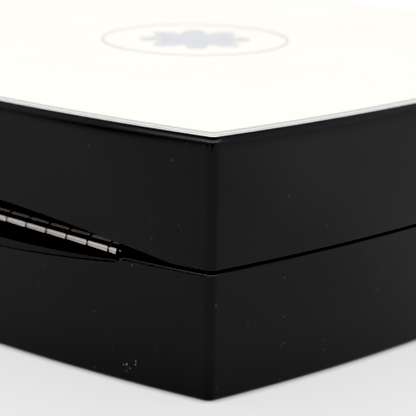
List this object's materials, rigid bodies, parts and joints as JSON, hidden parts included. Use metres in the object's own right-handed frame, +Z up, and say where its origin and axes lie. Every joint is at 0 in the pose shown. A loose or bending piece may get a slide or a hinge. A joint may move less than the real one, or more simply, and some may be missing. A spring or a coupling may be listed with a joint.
{
  "type": "powder compact",
  "caption": "Square black powder compact with bulging sides, ivory lid plate, nickel piano hinge, push-button latch, mirror, pressed powder and puff.",
  "frame": {"origin": "centre of the underside, in the plane the compact rests on", "axes": "+Z up through the lid plate; -Y to the front, where the latch button is; +Y to the back, where the piano hinge is; +X to the right seen from the front"},
  "size_m": [0.0732, 0.0735, 0.0233],
  "materials": {
    "black_case": "piano gloss",
    "tray_black": "satin gloss",
    "ivory_plate": "gloss lacquer",
    "trim_silver": "polished",
    "emblem_foil": "stamped foil",
    "hinge_nickel": "polished nickel",
    "rivet_nickel": "satin nickel",
    "button_nickel": "polished nickel",
    "spring_steel": "drawn wire",
    "catch_steel": "pressed, plated",
    "plate_steel": "bare",
    "pan_aluminium": "drawn, satin",
    "powder_cake": "pressed, matt",
    "clear_film": "clear film",
    "puff_velour": "velour pile",
    "ribbon_satin": "satin weave",
    "foam_tape": "foam",
    "mirror_glass": "silvered",
    "pad_rubber": "matt"
  },
  "bodies": {
    "base": {"base_shell": "black_case", "base_pad": "pad_rubber", "weight_plate": "plate_steel", "inner_tray": "tray_black", "powder_pan": "pan_aluminium", "pressed_powder": "powder_cake", "powder_divider": "clear_film", "puff": "puff_velour", "puff_ribbon": "ribbon_satin", "hinge_leaf_base": "hinge_nickel", "hinge_pin": "hinge_nickel", "base_rivet_left": "rivet_nickel", "base_rivet_middle": "rivet_nickel", "base_rivet_right": "rivet_nickel", "latch_spring_left": "spring_steel", "latch_spring_right": "spring_steel"},
    "lid": {"lid_shell": "black_case", "top_trim": "trim_silver", "top_plate": "ivory_plate", "emblem_ring": "emblem_foil", "emblem_rosette": "emblem_foil", "mirror_tape": "foam_tape", "mirror": "mirror_glass", "mirror_frame": "tray_black", "lid_catch": "catch_steel", "hinge_leaf_lid": "hinge_nickel", "lid_rivet_left": "rivet_nickel", "lid_rivet_middle": "rivet_nickel", "lid_rivet_right": "rivet_nickel"},
    "button": {"latch_button": "button_nickel"}
  },
  "joints": [
    {"name": "lid_hinge", "type": "hinge", "parent": "base", "child": "lid", "pos_m": [0, 0.03421, 0.01147], "axis": [-1, 0, 0], "range_deg": [0, 90]},
    {"name": "latch_push", "type": "slide", "parent": "base", "child": "button", "axis": [0, 1, 0], "range_m": [0, 0.0008], "stiffness_N_per_m": 400, "springref_m": -0.001, "deforming": ["latch_spring_left", "latch_spring_right"]}
  ]
}
